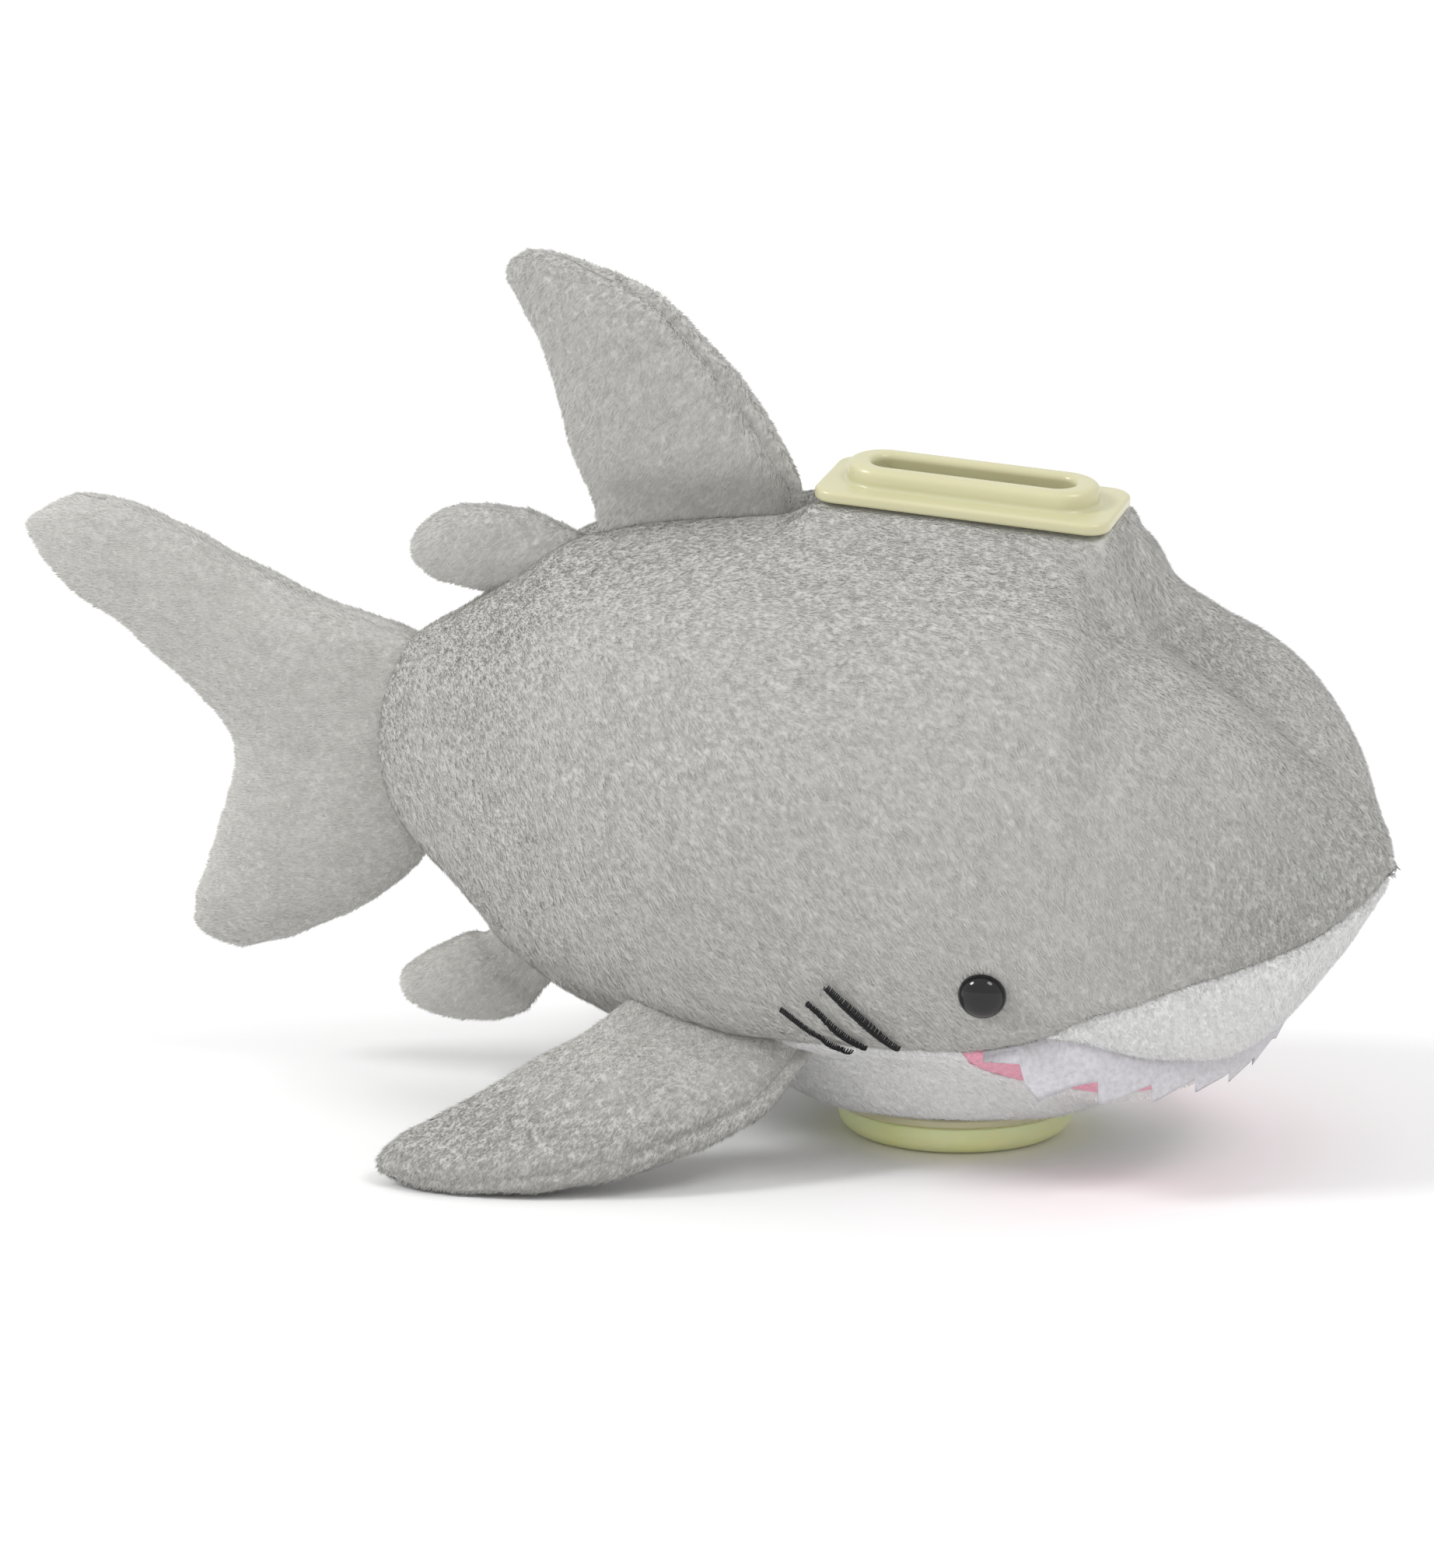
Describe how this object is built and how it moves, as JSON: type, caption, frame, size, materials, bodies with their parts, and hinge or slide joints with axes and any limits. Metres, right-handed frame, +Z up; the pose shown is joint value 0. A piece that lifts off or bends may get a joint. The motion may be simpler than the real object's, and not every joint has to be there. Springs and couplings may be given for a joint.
{
  "type": "plush shark coin bank",
  "caption": "Stuffed plush shark with sewn fins, a coin slot on its head, a coin tank inside and a pull-out stopper in its belly.",
  "frame": {"origin": "centre of the stopper's flat foot, on the surface that the shark stands on", "axes": "+X towards the nose, +Y towards the shark's left side, +Z up"},
  "size_m": [0.2455, 0.1392, 0.1542],
  "materials": {
    "grey_pile_fabric": "short pile, combed, matte",
    "white_pile_fabric": "short pile, matte",
    "pink_felt": "pressed felt",
    "white_felt": "pressed felt",
    "polyester_fibre": "loose fibre filling",
    "black_eye_plastic": "polished",
    "washer_plastic": "satin",
    "black_thread": "satin stitch",
    "cream_plastic": "glossy moulding",
    "tank_plastic": "blow moulded",
    "translucent_vinyl": "soft translucent vinyl"
  },
  "bodies": {
    "body": {"body_side_right": "grey_pile_fabric", "body_side_left": "grey_pile_fabric", "belly_panel": "white_pile_fabric", "snout_underside": "white_pile_fabric", "mouth_lining": "pink_felt", "teeth_strip": "white_felt", "body_stuffing": "polyester_fibre", "eye_right": "black_eye_plastic", "eye_left": "black_eye_plastic", "eye_washer_right": "washer_plastic", "eye_washer_left": "washer_plastic", "outlet_backing_ring": "washer_plastic", "slot_backing_frame": "washer_plastic", "gill_stitch_right_1": "black_thread", "gill_stitch_right_2": "black_thread", "gill_stitch_right_3": "black_thread", "gill_stitch_left_1": "black_thread", "gill_stitch_left_2": "black_thread", "gill_stitch_left_3": "black_thread", "slot_plate": "cream_plastic", "outlet_ring": "cream_plastic", "coin_tank": "tank_plastic"},
    "stopper": {"stopper": "translucent_vinyl"},
    "dorsal_fin": {"dorsal_fin_right": "grey_pile_fabric", "dorsal_fin_left": "grey_pile_fabric", "dorsal_fin_stuffing": "polyester_fibre"},
    "second_dorsal_fin": {"second_dorsal_fin_right": "grey_pile_fabric", "second_dorsal_fin_left": "grey_pile_fabric", "second_dorsal_fin_stuffing": "polyester_fibre"},
    "anal_fin": {"anal_fin_right": "grey_pile_fabric", "anal_fin_left": "grey_pile_fabric", "anal_fin_stuffing": "polyester_fibre"},
    "tail_fin": {"tail_fin_right": "grey_pile_fabric", "tail_fin_left": "grey_pile_fabric", "tail_fin_stuffing": "polyester_fibre"},
    "pectoral_fin_right": {"pectoral_fin_right_upper": "grey_pile_fabric", "pectoral_fin_right_lower": "grey_pile_fabric", "pectoral_fin_right_stuffing": "polyester_fibre"},
    "pectoral_fin_left": {"pectoral_fin_left_upper": "grey_pile_fabric", "pectoral_fin_left_lower": "grey_pile_fabric", "pectoral_fin_left_stuffing": "polyester_fibre"}
  },
  "joints": [
    {"name": "stopper_pull", "type": "slide", "parent": "body", "child": "stopper", "axis": [0, 0, -1], "range_m": [0, 0.03]},
    {"name": "tail_swing", "type": "hinge", "parent": "body", "child": "tail_fin", "pos_m": [-0.1048, -0.00907, 0.06429], "axis": [0, -0.1564, 0.9877], "range_deg": [-25, 25], "stiffness_Nm_per_rad": 0.06},
    {"name": "dorsal_tilt", "type": "hinge", "parent": "body", "child": "dorsal_fin", "pos_m": [-0.0425, -0.01659, 0.11175], "axis": [0.9958, -0.0144, 0.0907], "range_deg": [-20, 20], "stiffness_Nm_per_rad": 0.04},
    {"name": "second_dorsal_tilt", "type": "hinge", "parent": "body", "child": "second_dorsal_fin", "pos_m": [-0.0735, -0.01499, 0.1016], "axis": [0.7701, -0.0998, 0.6301], "range_deg": [-18, 18], "stiffness_Nm_per_rad": 0.015},
    {"name": "anal_fin_tilt", "type": "hinge", "parent": "body", "child": "anal_fin", "pos_m": [-0.0814, -0.00126, 0.02435], "axis": [0.6899, 0.173, -0.7029], "range_deg": [-18, 18], "stiffness_Nm_per_rad": 0.015},
    {"name": "pectoral_right_lift", "type": "hinge", "parent": "body", "child": "pectoral_fin_right", "pos_m": [-0.0335, -0.0405, 0.02275], "axis": [-0.9816, -0.0561, 0.1823], "range_deg": [-8, 25], "stiffness_Nm_per_rad": 0.5},
    {"name": "pectoral_left_lift", "type": "hinge", "parent": "body", "child": "pectoral_fin_left", "pos_m": [-0.0335, 0.0395, 0.02775], "axis": [0.9816, -0.0561, -0.1823], "range_deg": [-8, 25], "stiffness_Nm_per_rad": 0.5}
  ]
}
